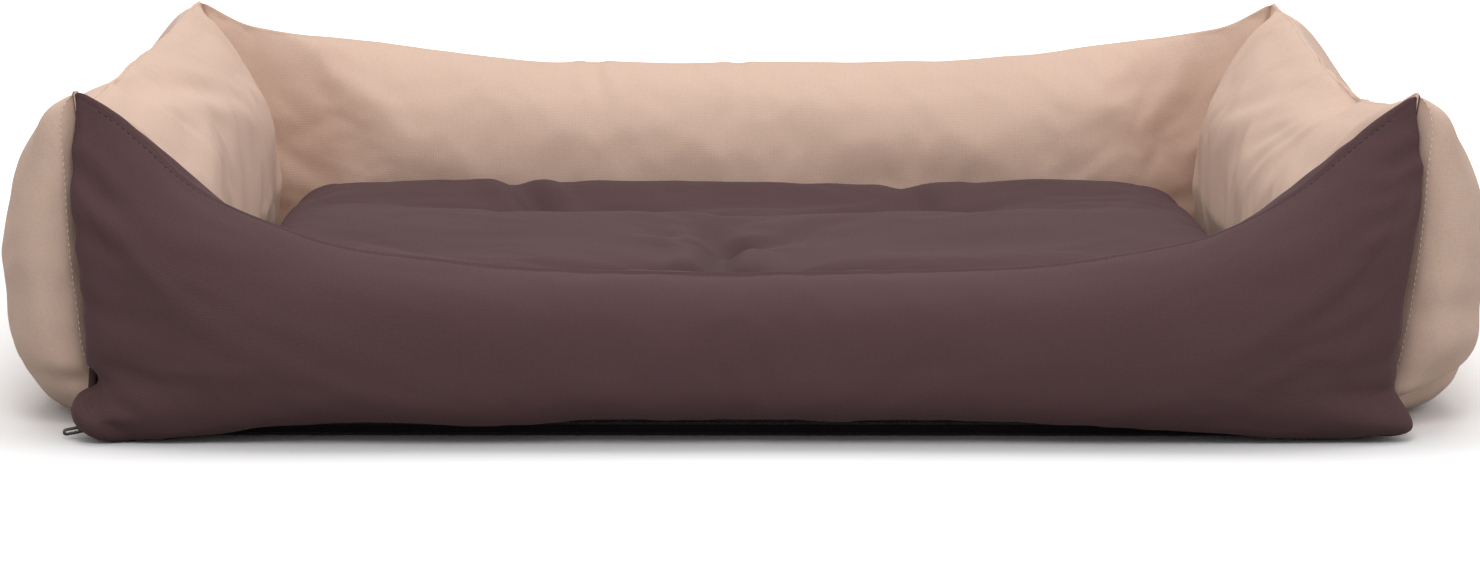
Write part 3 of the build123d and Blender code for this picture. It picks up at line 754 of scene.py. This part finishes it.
def woven(nodes, links, place, directions, thread):
    """The crossing threads of a weave, from 0 to 1."""
    weave = nodes.new("ShaderNodeMath")
    weave.operation = "MULTIPLY"
    for number, direction in enumerate(directions):
        wave = nodes.new("ShaderNodeTexWave")
        wave.wave_type = "BANDS"
        wave.bands_direction = direction
        wave.inputs["Scale"].default_value = 1 / (thread * 20) * math.pi
        wave.inputs["Distortion"].default_value = 0.6
        wave.inputs["Detail"].default_value = 1.0
        links.new(place, wave.inputs["Vector"])
        links.new(wave.outputs["Fac"], weave.inputs[number])
    return weave.outputs[0]


# How far the dye, the weave and the grain change the shade of a cloth
DYE_SHADE, WEAVE_SHADE, GRAIN_SHADE = 0.06, 0.06, 0.12


def cloth_material(name, base, sheen, thread=0.0007, depth=0.35, lie=None):
    """A fine woven cloth with relief, uneven dye and a soft sheen; lie gives the axes of a flat one."""
    made, nodes, links, shader = new_material(name)
    shader.inputs["Roughness"].default_value = 0.85
    shader.inputs["Sheen Weight"].default_value = sheen
    shader.inputs["Sheen Roughness"].default_value = 0.4
    shader.inputs["Specular IOR Level"].default_value = 0.12
    body = nodes.new("ShaderNodeTexCoord").outputs["Object"]
    place = body
    if not lie:
        unrolled = nodes.new("ShaderNodeUVMap")
        unrolled.uv_map = "cloth"
        place = unrolled.outputs["UV"]
    weave = woven(nodes, links, place, lie or ("X", "Y"), thread)
    patches = noise(nodes, links, body, 7.0, 5.0)
    grain = noise(nodes, links, body, 900.0, 2.0)
    tone = base
    for source, shade in ((patches, DYE_SHADE), (weave, WEAVE_SHADE), (grain, GRAIN_SHADE)):
        tone = shaded(nodes, links, tone, ranged(nodes, links, source, 1 - shade, 1 + shade))
    links.new(tone, shader.inputs["Base Color"])
    add = nodes.new("ShaderNodeMath")
    add.operation = "MULTIPLY_ADD"
    links.new(grain, add.inputs[0])
    add.inputs[1].default_value = 0.5
    links.new(weave, add.inputs[2])
    add_relief(nodes, links, shader, add.outputs[0], depth, 0.0003)
    return made


brown = cloth_material("brown_cloth", colour(91, 67, 69), sheen=0.02)
# Painted shade: the cushion is the same brown cloth as the front wall, given a darker copy of that brown to
# stand in for the light it takes from above
shaded_cushion_brown = cloth_material("cushion_cloth", colour(85, 63, 65), sheen=0.02)
beige = cloth_material("beige_cloth", colour(222, 192, 174), sheen=0.04)
dark = cloth_material("base_cloth", colour(58, 48, 49), thread=0.0012, depth=0.6, sheen=0.1, lie=("X", "Y"))
tape = cloth_material("zip_tape", colour(40, 34, 35), thread=0.0009, depth=0.7, sheen=0.1, lie=("X", "Z"))


def worn_material(name, base, worn, rough, metallic, ribs=0.0):
    """A hard finish with small scuffs, paler where its edges are rubbed; ribs is the pitch of a coil."""
    made, nodes, links, shader = new_material(name)
    shader.inputs["Metallic"].default_value = metallic
    body = nodes.new("ShaderNodeTexCoord").outputs["Object"]
    scuffs = noise(nodes, links, body, 380.0, 6.0)
    shape = nodes.new("ShaderNodeNewGeometry")
    rubbed = nodes.new("ShaderNodeMapRange")
    rubbed.inputs["From Min"].default_value = 0.54
    rubbed.inputs["From Max"].default_value = 0.66
    links.new(shape.outputs["Pointiness"], rubbed.inputs["Value"])
    broken = nodes.new("ShaderNodeMath")
    broken.operation = "MULTIPLY"
    links.new(rubbed.outputs["Result"], broken.inputs[0])
    links.new(scuffs, broken.inputs[1])
    mix = nodes.new("ShaderNodeMix")
    mix.data_type = "RGBA"
    mix.inputs[6].default_value = base
    mix.inputs[7].default_value = worn
    links.new(broken.outputs[0], mix.inputs["Factor"])
    links.new(mix.outputs[2], shader.inputs["Base Color"])
    links.new(ranged(nodes, links, scuffs, rough - 0.08, rough + 0.14), shader.inputs["Roughness"])
    if not ribs:
        add_relief(nodes, links, shader, scuffs, 0.15, 0.0001)
        return made
    coil = nodes.new("ShaderNodeTexWave")
    coil.bands_direction = "X"
    coil.inputs["Scale"].default_value = math.pi / (ribs * 10)
    links.new(body, coil.inputs["Vector"])
    add_relief(nodes, links, shader, coil.outputs["Fac"], 0.9, 0.0005)
    return made


enamel = worn_material("black_enamel", colour(26, 26, 28), colour(120, 118, 115), 0.32, 0.2)
nylon = worn_material("zip_coil", colour(34, 30, 31), colour(70, 64, 64), 0.5, 0.0, ribs=0.0016)


def dress(piece, material):
    """Gives a piece its material and a subdivision."""
    piece.data.materials.clear()
    piece.data.materials.append(material)
    rounded = piece.modifiers.new("rounded", "SUBSURF")
    rounded.levels = rounded.render_levels = 1


# Sections of a stitch: share of its length, width and lift from the cloth, in half thicknesses of the thread
STITCH_SECTIONS = ((0, 0.55, -0.4), (0.2, 0.95, 0.25), (0.5, 1.05, 0.45), (0.8, 0.95, 0.25), (1, 0.55, -0.4))
STITCH_SIDES = 6


def stitch_faces(start):
    """Faces of one stitch, whose points begin at start."""
    faces = []
    for ring in range(len(STITCH_SECTIONS) - 1):
        for k in range(STITCH_SIDES):
            a = start + ring * STITCH_SIDES + k
            b = start + ring * STITCH_SIDES + (k + 1) % STITCH_SIDES
            faces.append((a, a + STITCH_SIDES, b + STITCH_SIDES, b))
    last = start + (len(STITCH_SECTIONS) - 1) * STITCH_SIDES
    faces.append(tuple(start + k for k in range(STITCH_SIDES)))
    faces.append(tuple(last + k for k in range(STITCH_SIDES - 1, -1, -1)))
    return faces


def stitch_mesh(name, rows, spacing, length, thick):
    """Short rounded stitches along lines of points with their normals."""
    points, faces = [], []
    for line, normals in rows:
        run = running_length(line)
        for middle in np.arange(spacing, run[-1] - spacing, spacing):
            ends = [np.array([np.interp(middle + half, run, line[:, k]) for k in range(3)])
                    for half in (-length / 2, length / 2)]
            normal = np.array([np.interp(middle, run, normals[:, k]) for k in range(3)])
            normal /= np.linalg.norm(normal)
            way = (ends[1] - ends[0]) / np.linalg.norm(ends[1] - ends[0])
            across = np.cross(way, normal)
            faces.extend(stitch_faces(len(points)))
            for share, wide, lift in STITCH_SECTIONS:
                centre = ends[0] + (ends[1] - ends[0]) * share + normal * thick * lift
                for k in range(STITCH_SIDES):
                    turn = 2 * math.pi * k / STITCH_SIDES
                    points.append(centre + thick * wide * (across * math.cos(turn) + normal * math.sin(turn)))
    return make_mesh(name, points, faces)


def thread_material(name, base):
    """Twisted sewing thread."""
    made, nodes, links, shader = new_material(name)
    shader.inputs["Roughness"].default_value = 0.6
    body = nodes.new("ShaderNodeTexCoord")
    twist = nodes.new("ShaderNodeTexWave")
    twist.bands_direction = "DIAGONAL"
    twist.inputs["Scale"].default_value = 900.0
    links.new(body.outputs["Object"], twist.inputs["Vector"])
    tone = ranged(nodes, links, twist.outputs["Fac"], 0.8, 1.1)
    links.new(shaded(nodes, links, base, tone), shader.inputs["Base Color"])
    return made


brown_thread = thread_material("brown_thread", colour(44, 31, 33))
beige_thread = thread_material("beige_thread", colour(232, 210, 196))
dark_rows, pale_rows = [], []
for wall in WALLS:
    grid = wall_grids[wall.name]
    normals = grid_normals(grid)
    rows = dark_rows if wall.name == "front_wall" else pale_rows
    ridge_line = (grid[:, 3] + 4 * grid[:, 4] + grid[:, 5]) / 6
    rows.append((ridge_line[8:-8], normals[8:-8, 4]))
    if wall.name != "front_wall":
        for end in (2, -3):
            corner_line = (grid[end - 1] + 4 * grid[end] + grid[end + 1]) / 6
            rows.append((corner_line[3:OUTER_COUNT - 8], normals[end, 3:OUTER_COUNT - 8]))
for name, rows, material, spacing, thick in (("brown_stitches", dark_rows, brown_thread, 4.6, 0.55),
                                             ("beige_stitches", pale_rows, beige_thread, 4.4, 0.4)):
    stitches = stitch_mesh(name, rows, spacing, spacing * 0.62, thick)
    stitches.data.materials.append(material)
    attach(stitches, "bolster")

for name, piece in wall_objects.items():
    side = name.split("_")[0]
    dress(piece, brown if side == "front" else beige)
    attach(piece, "bolster")
    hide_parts(f"{side}_outer_panel", f"{side}_inner_panel", f"{side}_wall_filling")

dress(cushion, shaded_cushion_brown)
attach(cushion, "cushion")
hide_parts("cushion_top_panel", "cushion_bottom_panel", "cushion_filling")

# Finish of the solids that show, by a word in the node's name
FINISHES = (("tape", tape), ("coil", nylon), ("stitches", brown_thread), ("panel", dark))
for node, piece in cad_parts.items():
    if not piece.hide_render:
        piece.data.materials.clear()
        piece.data.materials.append(next((finish for word, finish in FINISHES if word in node), enamel))

# Floor and light
floor = make_mesh("floor", [(-9000, -6000, 0), (9000, -6000, 0), (9000, 12000, 0), (-9000, 12000, 0)],
                  [(0, 1, 2, 3)])
pale, nodes, links, shader = new_material("floor")
shader.inputs["Roughness"].default_value = 0.9
shader.inputs["Specular IOR Level"].default_value = 0.0


def seen_directly(nodes, links):
    """1 for what the camera sees directly or in a gloss, and 0 for the light that bounces on."""
    path = nodes.new("ShaderNodeLightPath")
    total = path.outputs["Is Camera Ray"]
    for other in ("Is Glossy Ray", "Is Transmission Ray"):
        add = nodes.new("ShaderNodeMath")
        add.operation = "MAXIMUM"
        links.new(total, add.inputs[0])
        links.new(path.outputs[other], add.inputs[1])
        total = add.outputs[0]
    return total


# Seen directly the floor is white, least near the bed so that its shadow stays
place = nodes.new("ShaderNodeTexCoord")
far = nodes.new("ShaderNodeVectorMath")
far.operation = "LENGTH"
links.new(place.outputs["Object"], far.inputs[0])
paler = nodes.new("ShaderNodeMapRange")
for socket, value in (("From Min", 0.8), ("From Max", 2.6), ("To Min", 1.15), ("To Max", 2.4)):
    paler.inputs[socket].default_value = value
links.new(far.outputs["Value"], paler.inputs["Value"])
floor_mix = nodes.new("ShaderNodeMix")
floor_mix.data_type = "RGBA"
floor_mix.inputs[6].default_value = (0.45, 0.45, 0.45, 1)
links.new(paler.outputs["Result"], floor_mix.inputs[7])
links.new(seen_directly(nodes, links), floor_mix.inputs["Factor"])
links.new(floor_mix.outputs[2], shader.inputs["Base Color"])
floor.data.materials.append(pale)

world = bpy.data.worlds.new("studio")
bpy.context.scene.world = world
world.use_nodes = True
tree = world.node_tree
background = tree.nodes["Background"]
background.inputs["Color"].default_value = (1, 1, 1, 1)
level = ranged(tree.nodes, tree.links, seen_directly(tree.nodes, tree.links), 0.535, 1.0)
tree.links.new(level, background.inputs["Strength"])


def soft_light(name, place, target, size, power):
    """A large soft lamp that looks at a point."""
    lamp = bpy.data.lights.new(name, "AREA")
    lamp.shape = "RECTANGLE"
    lamp.size, lamp.size_y = size
    lamp.energy = power
    made = bpy.data.objects.new(name, lamp)
    made.location = place
    made.rotation_euler = (Vector(target) - Vector(place)).to_track_quat("-Z", "Y").to_euler()
    bpy.context.scene.collection.objects.link(made)


soft_light("top_lamp", (0.0, 0.3, 2.4), (0, 0, 0.1), (3.0, 1.8), 31)
soft_light("front_lamp", (0.0, -1.9, 1.5), (0, 0, 0.1), (0.9, 0.7), 12)
soft_light("side_lamp", (2.4, -0.9, 1.5), (0, 0, 0.1), (1.6, 1.6), 6)

# The camera looks down and a little to the right, slightly rolled; its lens is in pixels of the photo's width
SENSOR, LENS_PIXELS, PHOTO_WIDTH = 36.0, 4145.3, 1480.0
LOOK_DOWN, LOOK_ASIDE, ROLL = 8.808, -0.604, 0.154
camera_data = bpy.data.cameras.new("camera")
camera_data.sensor_width = SENSOR
camera_data.lens = SENSOR * LENS_PIXELS / PHOTO_WIDTH
camera_data.clip_end = 100.0
camera = bpy.data.objects.new("camera", camera_data)
camera.location = (-0.0327, -3.0252, 0.5106)
level_look = Euler((math.radians(90 - LOOK_DOWN), 0, math.radians(LOOK_ASIDE))).to_matrix()
camera.rotation_euler = (level_look @ Matrix.Rotation(math.radians(ROLL), 3, "Z")).to_euler()
bpy.context.scene.collection.objects.link(camera)
bpy.context.scene.camera = camera
bpy.context.scene.view_settings.view_transform = "Standard"
